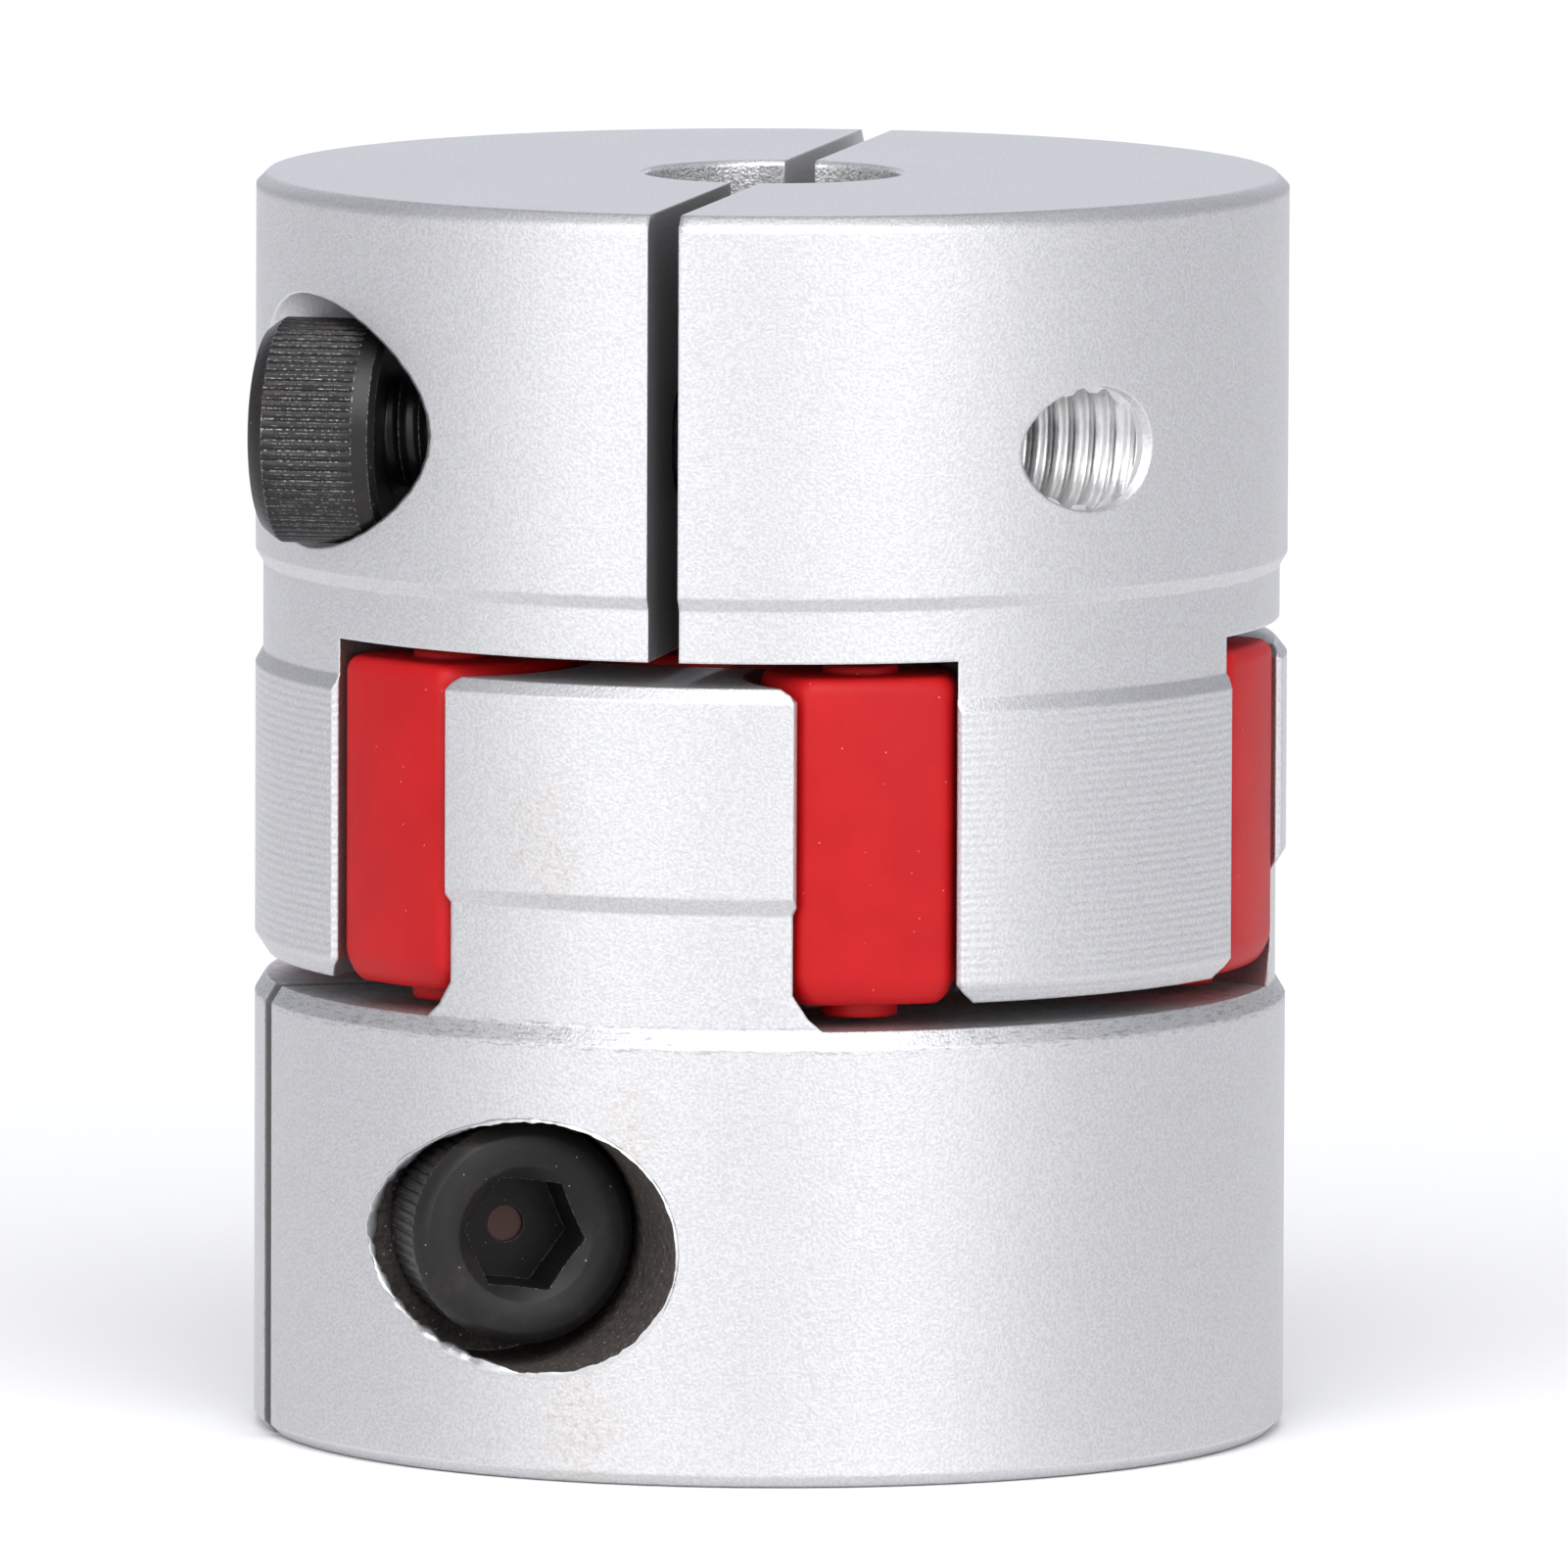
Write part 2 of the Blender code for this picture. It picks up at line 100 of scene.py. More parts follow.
# Brown stains on the lower hub: (middle, radius), in mm
STAINS = (((-8.6, -18.1, 24.6), 2.6), ((-7.2, -18.6, 2.6), 2.8), ((-5.3, -19.3, 13.6), 1.7))
STAIN_BROWN = (0.50, 0.37, 0.27, 1.0)
DARK_GRIME = (0.055, 0.050, 0.049, 1.0)
BROWN_GRIME = (0.16, 0.135, 0.115, 1.0)

# Heights between which a hub shows a finish, in mm
WORN_BAND = (16.7, 17.6)  # scuffs, on the lower hub
TURNED_BAND = (18.5, 29.4)  # turning lines, on the upper hub

# Where a finish, and the painted shade of the slit and of the socket, start to show and where they are
# full, in mm
SLIT_FINISH_AND_SHADE = (0.64, 0.61)  # from the slit's middle
BORE_FINISH = (5.1, 5.05)  # from the shafts' axis
COUNTERBORE_FINISH = (4.99, 4.93)  # from the counterbore's axis
COUNTERBORE_START = (1.0, 1.2)  # from the slit's middle, along the screw
TOP_RIM_HEIGHT = (48.0, 48.1)  # the upper hub's end has a rounder edge
TOP_RIM_RADIUS = (18.8, 19.0)
TURNED_RADIUS = (19.6, 19.8)
# painted shade in the screw's socket
SOCKET_SHADE = (2.5, 2.4)  # from the screw's axis
SOCKET_MOUTH_DEPTH = (0.3, 0.7)  # below the top of the head
SPOT_FINISH = (0.75, 0.68)  # from the screw's axis
SPOT_DEPTH = (3.3, 3.4)  # below the top of the head

# Edges that bend by more than this stay sharp, in degrees
SHARP_ANGLE = 24.0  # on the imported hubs
HEAD_SHARP_ANGLE = 28
THREAD_SHARP_ANGLE = 50
BURR_SHARP_ANGLE = 60
STAR_SHARP_ANGLE = 35

# A packed face is round if its normal is this near to straight from the shafts' axis, in degrees
ROUND_FACE_ANGLE = 4.0
MERGE_DISTANCE = 0.001 * MM
CUT_MARGIN = MM  # how far a cutter reaches past what it cuts

# Light
HORIZON_LIGHT = 0.49
ZENITH_LIGHT = 0.50
SKY_TINT = (0.93, 0.94, 1.0, 1.0)
SUN_STRENGTH = 2.3
SUN_WIDTH = 50  # degrees across
SUN_TILT = 42  # degrees from straight overhead, towards the camera's side
SUN_SPECULAR = 0.35
SOFTBOX_POWER = 5.5
WHITE = (1.0, 1.0, 1.0)
COOL = (0.86, 0.89, 1.0)
# Name, azimuth and elevation in degrees, distance, (width, height), power, colour
SOFTBOXES = (
    ("front_left", -36, 10, 1.3, (0.8, 0.9), SOFTBOX_POWER, WHITE),
    ("front_right", 30, 10, 1.3, (0.8, 0.9), SOFTBOX_POWER, WHITE),
    ("back", 180, 25, 1.4, (1.2, 0.8), 0.4 * SOFTBOX_POWER, COOL),
)

# Floor and camera
FLOOR_HALF_SIZE = 6.0
FLOOR_DROP = 0.05 * MM  # below the coupling, so that the two don't share a plane
CAMERA_DISTANCE = 1.0613
CAMERA_PITCH = 6.29  # degrees below the horizon
CAMERA_ROLL = 0.223
CAMERA_LENS = 628.1  # mm, on a 36 mm sensor
CAMERA_AIM = (0.515 * MM, 0.0, 24.86 * MM)


# ---------------------------------------------------------------- shader graphs


class Graph:
    """A node tree. Its methods add nodes and give the new socket, apart from node and feed."""

    def __init__(self, tree):
        self.tree = tree

    def node(self, kind, **settings):
        made = self.tree.nodes.new(kind)
        for name, value in settings.items():
            setattr(made, name, value)
        return made

    def feed(self, socket, value):
        if isinstance(value, bpy.types.NodeSocket):
            self.tree.links.new(value, socket)
        else:
            socket.default_value = value

    def math(self, operation, *values):
        made = self.node("ShaderNodeMath", operation=operation)
        for socket, value in zip(made.inputs, values):
            self.feed(socket, value)
        return made.outputs[0]

    def vector(self, operation, *values):
        made = self.node("ShaderNodeVectorMath", operation=operation)
        for socket, value in zip(made.inputs, values):
            self.feed(socket, value)
        scalar = operation in ("LENGTH", "DOT_PRODUCT")
        return made.outputs["Value" if scalar else "Vector"]

    def between(self, value, low, high, start=0.0, end=1.0):
        """start at low and end at high, with a smooth step between them."""
        made = self.node("ShaderNodeMapRange", interpolation_type="SMOOTHSTEP")
        names = ("Value", "From Min", "From Max", "To Min", "To Max")
        for name, given in zip(names, (value, low, high, start, end)):
            self.feed(made.inputs[name], given)
        return made.outputs["Result"]

    def inside(self, value, low, high, soft):
        """1 between low and high, falling to 0 over soft on each side."""
        rise = self.between(value, low - soft, low)
        fall = self.between(value, high, high + soft, 1.0, 0.0)
        return self.math("MULTIPLY", rise, fall)

    def noise(self, where, scale, detail, roughness=0.5):
        made = self.node("ShaderNodeTexNoise")
        values = (("Vector", where), ("Scale", scale), ("Detail", detail), ("Roughness", roughness))
        for name, value in values:
            self.feed(made.inputs[name], value)
        return made.outputs["Fac"]

    def cells(self, where, scale):
        """How far a point is from the nearest of many scattered points."""
        made = self.node("ShaderNodeTexVoronoi")
        self.feed(made.inputs["Vector"], where)
        self.feed(made.inputs["Scale"], scale)
        return made.outputs["Distance"]

    def mix(self, share, first, second):
        """The first colour where share is 0, and the second where it is 1."""
        made = self.node("ShaderNodeMix", data_type="RGBA")
        self.feed(made.inputs[0], share)
        self.feed(made.inputs[6], first)
        self.feed(made.inputs[7], second)
        return made.outputs[2]

    def lerp(self, share, first, second):
        made = self.node("ShaderNodeMix", data_type="FLOAT")
        self.feed(made.inputs[0], share)
        self.feed(made.inputs[2], first)
        self.feed(made.inputs[3], second)
        return made.outputs[0]

    def bump(self, height, distance, normal):
        made = self.node("ShaderNodeBump")
        self.feed(made.inputs["Height"], height)
        made.inputs["Distance"].default_value = distance
        made.inputs["Strength"].default_value = 1.0
        self.feed(made.inputs["Normal"], normal)
        return made.outputs["Normal"]

    def rounded(self, radius):
        """The normal of a surface whose edges are rounded."""
        made = self.node("ShaderNodeBevel", samples=6)
        made.inputs["Radius"].default_value = radius
        return made.outputs["Normal"]

    def edges(self, radius):
        """1 on edges and 0 on open surface."""
        plain = self.node("ShaderNodeNewGeometry").outputs["Normal"]
        along = self.vector("DOT_PRODUCT", self.rounded(radius), plain)
        return self.between(along, 0.995, 0.9)

    def millimetres(self):
        """Where a point of the piece is, in millimetres in the frame of the whole coupling."""
        own = self.node("ShaderNodeTexCoord").outputs["Object"]
        return self.vector("MULTIPLY", own, (1000.0, 1000.0, 1000.0))

    def about_axis(self, place, start, axis):
        """How far along an axis a point is from its start, and how far off it, in millimetres."""
        offset = self.vector("SUBTRACT", place, tuple(start / MM))
        depth = self.vector("DOT_PRODUCT", offset, tuple(axis))
        along = self.vector("MULTIPLY", tuple(axis), depth)
        return depth, self.vector("LENGTH", self.vector("SUBTRACT", offset, along))


def grey(value, blue=0.0):
    return (value, value, value + blue, 1.0)


def new_material(name):
    """An empty Principled material: (material, its graph, its shader)."""
    material = bpy.data.materials.new(name)
    material.use_nodes = True
    shader = material.node_tree.nodes["Principled BSDF"]
    return material, Graph(material.node_tree), shader


# ---------------------------------------------------------------- where things are


class Clamp(NamedTuple):
    """A hub's clamp: the screw's axis, and its frame with the origin in the middle of the slit."""

    axis: Vector
    frame: Matrix
    under_head: float
    counterbore: Vector


def clamp_of(screw_node, joint_name, shift):
    """Reads a clamp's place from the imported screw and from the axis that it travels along."""
    joint = next(j for j in frame["joints"] if j["name"] == joint_name)
    axis = Vector(joint["axis"]).normalized()
    up = Vector((0.0, 0.0, 1.0))
    across = up.cross(axis)
    points = [v.co for v in frame["nodes"][screw_node].data.vertices]
    sides = [p.dot(across) for p in points]
    heights = [p.z for p in points]
    centre = across * (min(sides) + max(sides)) / 2 + up * (min(heights) + max(heights)) / 2
    basis = Matrix((up, -across, axis)).transposed().to_4x4()
    outward = 1.0 if centre.dot(across) > 0 else -1.0
    along_slit, along_shaft = shift
    return Clamp(
        axis=axis,
        frame=Matrix.Translation(centre) @ basis,
        under_head=max(p.dot(axis) for p in points) - HEAD_HEIGHT,
        counterbore=centre + across * outward * along_slit + up * along_shaft,
    )


# ---------------------------------------------------------------- materials


def worn(graph, place, height, band, tone):
    """The tone with dark scuffs round the hub, between two heights."""
    low, high = band
    scuff = graph.noise(graph.vector("MULTIPLY", place, (1.0, 1.0, 6.0)), 1.8, 5.0, 0.7)
    share = graph.math("MULTIPLY", graph.inside(height, low, high, 0.1), graph.between(scuff, 0.5, 0.66))
    return graph.mix(graph.math("MULTIPLY", share, 0.6), tone, grey(0.26))


def stained(graph, place, speck, tone):
    """The tone with brown specks and a brown haze in the places that are stained."""
    for middle, radius in STAINS:
        squashed = (1.0, 1.0, 0.6)
        away = graph.vector("MULTIPLY", graph.vector("SUBTRACT", place, middle), squashed)
        near = graph.between(graph.vector("LENGTH", away), radius, 0.2 * radius)
        share = graph.lerp(graph.between(speck, 0.48, 0.64), 0.05, 0.52)
        tone = graph.mix(graph.math("MULTIPLY", near, share), tone, STAIN_BROWN)
    return tone


def grimy(graph, place, speck, share, tone):
    """The tone with dark and brown grime and a few bright sparks, where share is 1."""
    grime = graph.mix(graph.between(speck, 0.35, 0.7), DARK_GRIME, BROWN_GRIME)
    sparks = graph.between(graph.cells(place, 3.2), 0.15, 0.07)
    grime = graph.mix(sparks, grime, grey(0.65))
    return graph.mix(share, tone, grime)


def on_slit(graph, place, clamp):
    """1 on the walls of the slit, and 0 elsewhere."""
    side = graph.math("ABSOLUTE", graph.vector("DOT_PRODUCT", place, tuple(clamp.axis)))
    wall = graph.node("ShaderNodeNewGeometry").outputs["True Normal"]
    facing = graph.math("ABSOLUTE", graph.vector("DOT_PRODUCT", wall, tuple(clamp.axis)))
    return graph.math("MULTIPLY", graph.between(side, *SLIT_FINISH_AND_SHADE), graph.between(facing, 0.9, 0.95))


def in_counterbore(graph, place, clamp):
    """1 in the counterbore, and 0 elsewhere."""
    depth, off_axis = graph.about_axis(place, clamp.counterbore, clamp.axis)
    deep = graph.between(depth, *COUNTERBORE_START)
    return graph.math("MULTIPLY", graph.between(off_axis, *COUNTERBORE_FINISH), deep)


def turning_lines(graph, place, height, radius, band):
    """How high the lathe's fine lines stand, on the outside of the hub between two heights."""
    lines = graph.node("ShaderNodeTexWave", wave_type="BANDS", bands_direction="Z")
    graph.feed(lines.inputs["Vector"], place)
    lines.inputs["Scale"].default_value = 0.95
    lines.inputs["Distortion"].default_value = 0.6
    lines.inputs["Detail Scale"].default_value = 0.3
    low, high = band
    outside = graph.between(radius, *TURNED_RADIUS)
    shown = graph.math("MULTIPLY", graph.inside(height, low, high, 0.4), outside)
    return graph.math("MULTIPLY", lines.outputs["Fac"], shown)


def aluminium(name, clamp, dirt=False, turned_band=None, worn_band=None):
    """Bead-blasted and clear-anodised aluminium, with the worn places and the dirt of one hub, painted
    glints, worn edges with a painted highlight, and painted shade on the walls of its slit.
    """
    material, graph, shader = new_material(name)
    place = graph.millimetres()
    split = graph.node("ShaderNodeSeparateXYZ")
    graph.feed(split.inputs[0], place)
    height = split.outputs["Z"]
    radius = graph.vector("LENGTH", graph.vector("MULTIPLY", place, (1.0, 1.0, 0.0)))

    grain = graph.noise(place, 8.5, 1.0)
    glint = graph.cells(place, 7.5)
    cloud = graph.noise(place, 0.22, 4.0, 0.6)
    speck = graph.noise(place, 3.4, 6.0, 0.75)
    slit = on_slit(graph, place, clamp)
    bore = graph.between(radius, *BORE_FINISH)
    in_hole = in_counterbore(graph, place, clamp)

    tone = graph.mix(graph.between(grain, 0.3, 0.7), grey(0.58, 0.012), grey(0.68, 0.014))
    glints = graph.between(glint, 0.22, 0.08)
    tone = graph.mix(graph.math("MULTIPLY", glints, 0.3), tone, grey(0.92))
    if dirt:
        tone = stained(graph, place, speck, tone)
        tone = grimy(graph, place, speck, in_hole, tone)
    # painted shade: the slit's walls are painted dark grey, strongly on the lower hub, and on the upper
    # hub more on the front wall than on the rear one
    slit_shade = 0.9 if dirt else graph.between(split.outputs["Y"], -1.0, 1.0, 0.6, 0.1)
    tone = graph.mix(graph.math("MULTIPLY", slit, slit_shade), tone, grey(0.12))
    tone = graph.mix(graph.math("MULTIPLY", bore, graph.between(grain, 0.3, 0.6)), tone, grey(0.95))
    if worn_band:
        tone = worn(graph, place, height, worn_band, tone)
    # edges lighter: partly worn bare metal, partly a painted highlight
    worn_edge_and_highlight = graph.math("MULTIPLY", graph.edges(0.13 * MM), graph.between(speck, 0.3, 0.55))
    tone = graph.mix(graph.math("MULTIPLY", worn_edge_and_highlight, 0.4), tone, grey(0.9))
    graph.feed(shader.inputs["Base Color"], tone)

    rough = graph.lerp(graph.between(cloud, 0.3, 0.7), 0.47, 0.51)
    rough = graph.lerp(bore, rough, 0.3)
    rough = graph.lerp(worn_edge_and_highlight, rough, 0.4)
    rough = graph.lerp(slit, rough, 0.6)
    rough = graph.lerp(in_hole, rough, 0.6 if dirt else 0.36)
    graph.feed(shader.inputs["Roughness"], rough)
    if dirt:
        # the dirt of the counterbore and the painted shade of the slit are less metallic
        grime_and_slit_shade = graph.math("MAXIMUM", in_hole, slit)
        graph.feed(shader.inputs["Metallic"], graph.lerp(grime_and_slit_shade, 1.0, 0.4))
    else:
        shader.inputs["Metallic"].default_value = 1.0

    near_top = graph.between(height, *TOP_RIM_HEIGHT)
    rim = graph.math("MULTIPLY", near_top, graph.between(radius, *TOP_RIM_RADIUS))
    normal = graph.mix(rim, graph.rounded(0.15 * MM), graph.rounded(0.5 * MM))
    if turned_band:
        groove = turning_lines(graph, place, height, radius, turned_band)
        normal = graph.bump(groove, 0.008 * MM, normal)
    graph.feed(shader.inputs["Normal"], graph.bump(grain, 0.014 * MM, normal))
    return material


def bare_thread(name):
    """Bright cut aluminium, in the tapped holes."""
    material, graph, shader = new_material(name)
    place = graph.millimetres()
    scratch = graph.noise(place, 4.0, 4.0, 0.6)
    graph.feed(shader.inputs["Base Color"], graph.mix(scratch, grey(0.60), grey(0.82)))
    graph.feed(shader.inputs["Roughness"], graph.lerp(scratch, 0.28, 0.45))
    shader.inputs["Metallic"].default_value = 1.0
    normal = graph.bump(graph.noise(place, 9.0, 3.0), 0.01 * MM, graph.rounded(0.04 * MM))
    graph.feed(shader.inputs["Normal"], normal)
    return material


def red_polyurethane(name):
    """Cast polyurethane: deep red, satin, and a little translucent."""
    material, graph, shader = new_material(name)
    place = graph.millimetres()
    cloud = graph.noise(place, 0.35, 3.0, 0.55)
    fine = graph.noise(place, 7.0, 3.0, 0.6)
    tone = graph.mix(graph.between(cloud, 0.3, 0.7), (0.41, 0.004, 0.006, 1.0), (0.46, 0.006, 0.008, 1.0))
    dust = graph.between(graph.cells(place, 1.4), 0.045, 0.03)
    tone = graph.mix(graph.math("MULTIPLY", dust, 0.5), tone, (0.85, 0.55, 0.52, 1.0))
    # painted highlight: the edges are painted a lighter red
    tone = graph.mix(graph.math("MULTIPLY", graph.edges(0.3 * MM), 0.35), tone, (0.50, 0.012, 0.015, 1.0))
    graph.feed(shader.inputs["Base Color"], tone)
    graph.feed(shader.inputs["Roughness"], graph.lerp(fine, 0.42, 0.56))
    shader.inputs["Specular IOR Level"].default_value = 0.22
    shader.inputs["Subsurface Weight"].default_value = 0.12
    shader.inputs["Subsurface Radius"].default_value = (1.0, 0.2, 0.1)
    shader.inputs["Subsurface Scale"].default_value = 0.6 * MM
    normal = graph.bump(cloud, 0.02 * MM, graph.rounded(0.25 * MM))
    graph.feed(shader.inputs["Normal"], graph.bump(fine, 0.003 * MM, normal))
    return material


def black_oxide(name, shine_and_painted_glint, clamp):
    """Black-oxide steel, with brown rust in places, bright worn edges with painted glints, and painted
    shade in its socket.
    """
    material, graph, shader = new_material(name)
    place = graph.millimetres()
    cloud = graph.noise(place, 0.6, 5.0, 0.65)
    fine = graph.noise(place, 8.0, 4.0, 0.7)
    tone = graph.mix(cloud, (0.014, 0.014, 0.015, 1.0), (0.028, 0.026, 0.026, 1.0))
    rust = graph.math("MULTIPLY", graph.between(cloud, 0.56, 0.72), graph.between(fine, 0.4, 0.6))
    tone = graph.mix(graph.math("MULTIPLY", rust, 0.35), tone, (0.10, 0.05, 0.028, 1.0))
    # edges lighter: partly worn bare metal, partly painted glints, which are stronger on the upper
    # screw's copy
    wear_and_glint = graph.math("MULTIPLY", graph.edges(0.1 * MM), graph.between(fine, 0.48, 0.60))
    tone = graph.mix(graph.math("MULTIPLY", wear_and_glint, 0.5 + 0.4 * shine_and_painted_glint), tone, grey(0.60))

    dust = graph.between(graph.cells(place, 1.7), 0.06, 0.035)
    tone = graph.mix(graph.math("MULTIPLY", dust, 0.7), tone, (0.62, 0.55, 0.50, 1.0))

    depth, off_axis = graph.about_axis(place, clamp.frame.translation, clamp.axis)
    top = (clamp.under_head + HEAD_HEIGHT) / MM
    below_mouth = graph.between(depth, *(top - below for below in SOCKET_MOUTH_DEPTH))
    at_spot = graph.between(depth, *(top - below for below in SPOT_DEPTH))
    socket = graph.math("MULTIPLY", graph.between(off_axis, *SOCKET_SHADE), below_mouth)
    spot = graph.math("MULTIPLY", graph.between(off_axis, *SPOT_FINISH), at_spot)
    # painted shade: the socket is painted nearly black
    tone = graph.mix(graph.math("MULTIPLY", socket, 0.7), tone, grey(0.005))
    tone = graph.mix(graph.math("MULTIPLY", spot, 0.8), tone, (0.10, 0.052, 0.045, 1.0))
    graph.feed(shader.inputs["Base Color"], tone)
    graph.feed(shader.inputs["Roughness"], graph.lerp(cloud, 0.30, 0.44))
    shader.inputs["Specular IOR Level"].default_value = 0.2 + 0.4 * shine_and_painted_glint
    shader.inputs["Metallic"].default_value = 0.3 + 0.3 * shine_and_painted_glint
    normal = graph.bump(fine, 0.008 * MM, graph.rounded(0.06 * MM))
    graph.feed(shader.inputs["Normal"], normal)
    return material


def floor_paint(name):
    material, _, shader = new_material(name)
    shader.inputs["Base Color"].default_value = grey(0.9)
    shader.inputs["Roughness"].default_value = 0.9
    return material


# ---------------------------------------------------------------- meshes


def piece(name, bm, place, material, body):
    """A finished piece from a bmesh in its own frame: it is put in place, and rides on the body."""
    mesh = bpy.data.meshes.new(name)
    bmesh.ops.recalc_face_normals(bm, faces=bm.faces)
    bm.to_mesh(mesh)
    bm.free()
    mesh.transform(place)
    mesh.materials.append(material)
    obj = bpy.data.objects.new(name, mesh)
    bpy.context.scene.collection.objects.link(obj)
    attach(obj, body)
    return obj


def cut(obj, other, operation):
    """Applies a Boolean of two objects to the first one's mesh, and removes the second."""
    modifier = obj.modifiers.new("Cut", "BOOLEAN")
    modifier.operation = operation
    modifier.object = other
    modifier.solver = "EXACT"
    depsgraph = bpy.context.evaluated_depsgraph_get()
    result = bpy.data.meshes.new_from_object(obj.evaluated_get(depsgraph))
    obj.modifiers.clear()
    obj.data = result
    bpy.data.objects.remove(other)


def shade(obj, degrees):
    obj.data.shade_smooth()
    obj.data.set_sharp_from_angle(angle=math.radians(degrees))


def ring(bm, radius_at, z, steps, middle=(0.0, 0.0)):
    """A ring of vertices. Its radius is a number, or a function of the angle."""
    x, y = middle
    made = []
    for step in range(steps):
        angle = 2 * math.pi * step / steps
        radius = radius_at(angle) if callable(radius_at) else radius_at
        made.append(bm.verts.new((x + radius * math.cos(angle), y + radius * math.sin(angle), z)))
    return made


def skin(bm, rings):
    for low, high in zip(rings, rings[1:]):
        for i in range(len(low)):
            j = (i + 1) % len(low)
            bm.faces.new((low[i], low[j], high[j], high[i]))


def closed_skin(bm, rings):
    """A skin over the rings, with a flat face on its first and on its last one."""
    skin(bm, rings)
    bm.faces.new(reversed(rings[0]))
    bm.faces.new(rings[-1])


def thread_ridge(turn, wider=0.0):
    """How high the thread stands at this many turns, from 0 at its root to 1 at its crest."""
    from_crest = abs(turn % 1.0 - 0.5)
    return min(1.0, max(0.0, (THREAD_HALF_FOOT + wider - from_crest) / THREAD_FLANK))


def thread_rod(bm, radius_at, low, high, steps):
    """A closed rod from z = low to high, whose radius is radius_at(turn, z).

    The grid's rows follow the thread, and turn is the same all along a row.
    """
    rows = 10
    count = int((high - low) / THREAD_PITCH * rows) + 2 * rows
    columns = []
    for step in range(steps):
        share = step / steps
        angle = 2 * math.pi * share
        column = []
        for row in range(count + 1):
            z = low + (row / rows - 1 + share) * THREAD_PITCH
            radius = radius_at(z / THREAD_PITCH - share, z)
            column.append(bm.verts.new((radius * math.cos(angle), radius * math.sin(angle), z)))
        columns.append(column)
    for step in range(steps):
        this, after = columns[step], columns[(step + 1) % steps]
        ahead = rows if step == steps - 1 else 0
        for row in range(count - ahead):
            bm.faces.new((this[row], after[row + ahead], after[row + 1 + ahead], this[row + 1]))
    for z, direction in ((low, -1.0), (high, 1.0)):
        everything = bm.verts[:] + bm.edges[:] + bm.faces[:]
        plane = {"plane_co": (0.0, 0.0, z), "plane_no": (0.0, 0.0, direction)}
        bmesh.ops.bisect_plane(bm, geom=everything, clear_outer=True, **plane)
        rim = [
            e for e in bm.edges
            if e.is_boundary and all(abs(v.co.z - z) < MERGE_DISTANCE for v in e.verts)
        ]
        bmesh.ops.edgeloop_fill(bm, edges=rim)


def screw_shank(bm):
    """The threaded shank, with a chamfered tip."""
    root, crest = SCREW_THREAD
    tip_radius = root - TIP_INSET

    def radius_at(turn, z):
        ridge = root + (crest - root) * thread_ridge(turn)
        return min(ridge, tip_radius + max(0.0, z + SHANK_LENGTH))

    thread_rod(bm, radius_at, -SHANK_LENGTH, SHANK_OVERLAP, steps=48)


def screw_head(bm):
    """The knurled head, with a countersunk mouth for the socket."""
    steps = KNURL_TEETH * 6
    low, high = KNURL_SPAN

    def knurl(share):
        def radius_at(angle):
            tooth = (angle * KNURL_TEETH / (2 * math.pi)) % 1.0
            groove = 1 - min(1.0, abs(tooth - 0.5) * 3.0)
            return HEAD_RADIUS - KNURL_DEPTH * groove * share

        return radius_at

    # From the shank, round the foot and up to the knurl: (radius, height)
    levels = [
        (SCREW_THREAD[0], 0.0),
        (HEAD_RADIUS - 0.38 * MM, 0.0),
        (HEAD_RADIUS - 0.1 * MM, 0.22 * MM),
        (HEAD_RADIUS - 0.05 * MM, 0.4 * MM),
        (HEAD_RADIUS - 0.05 * MM, low - 0.1 * MM),
        (knurl(0.0), low),
        (knurl(1.0), low + 0.15 * MM),
    ]
    rows = 8
    for row in range(1, rows):
        levels.append((knurl(1.0), low + 0.15 * MM + (high - low - 0.3 * MM) * row / rows))
    # From the knurl, round the top and into the socket's mouth
    levels += [
        (knurl(1.0), high - 0.15 * MM),
        (knurl(0.3), high),
        (HEAD_RADIUS - 0.12 * MM, high + 0.2 * MM),
        (HEAD_RADIUS - 0.42 * MM, HEAD_HEIGHT - 0.06 * MM),
        (HEAD_RADIUS - 0.55 * MM, HEAD_HEIGHT),
        (SOCKET_MOUTH_RADIUS + 0.06 * MM, HEAD_HEIGHT),
        (SOCKET_MOUTH_RADIUS - 0.04 * MM, HEAD_HEIGHT - 0.05 * MM),
        (SOCKET_MOUTH_RADIUS - 0.55 * MM, HEAD_HEIGHT - 0.45 * MM),
    ]
    closed_skin(bm, [ring(bm, radius_at, z, steps) for radius_at, z in levels])


def add_prism(bm, sides, radius, low, high):
    middle = Matrix.Translation((0.0, 0.0, (low + high) / 2))
    bmesh.ops.create_cone(
        bm, cap_ends=True, segments=sides, radius1=radius, radius2=radius, depth=high - low, matrix=middle
    )


def loose_object(name, bm, place):
    """An object to cut with, which isn't kept."""
    mesh = bpy.data.meshes.new(name)
    bm.to_mesh(mesh)
    bm.free()
    mesh.transform(place)
    obj = bpy.data.objects.new(name, mesh)
    bpy.context.scene.collection.objects.link(obj)
    return obj


def clamp_screw(name, clamp, material, body, node):
    """A socket cap screw in its clamp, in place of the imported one."""
    place = clamp.frame @ Matrix.Translation((0.0, 0.0, clamp.under_head))
    bm = bmesh.new()
    screw_head(bm)
    head = piece(name, bm, place, material, body)
    turned = place @ Matrix.Rotation(math.radians(SOCKET_TURN), 4, "Z")
    floor = HEAD_HEIGHT - SOCKET_DEPTH
    top = HEAD_HEIGHT + CUT_MARGIN
    hexagon = (6, SOCKET_CORNER_RADIUS, floor)
    spot = (32, SOCKET_SPOT_RADIUS, floor - SOCKET_SPOT_DEPTH)
    for sides, radius, low in (hexagon, spot):
        bm = bmesh.new()
        add_prism(bm, sides, radius, low, top)
        cut(head, loose_object("socket", bm, turned), "DIFFERENCE")
    shade(head, HEAD_SHARP_ANGLE)
    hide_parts(node)

    bm = bmesh.new()
    screw_shank(bm)
    shank = piece(name + "_shank", bm, place, material, body)
    shade(shank, THREAD_SHARP_ANGLE)


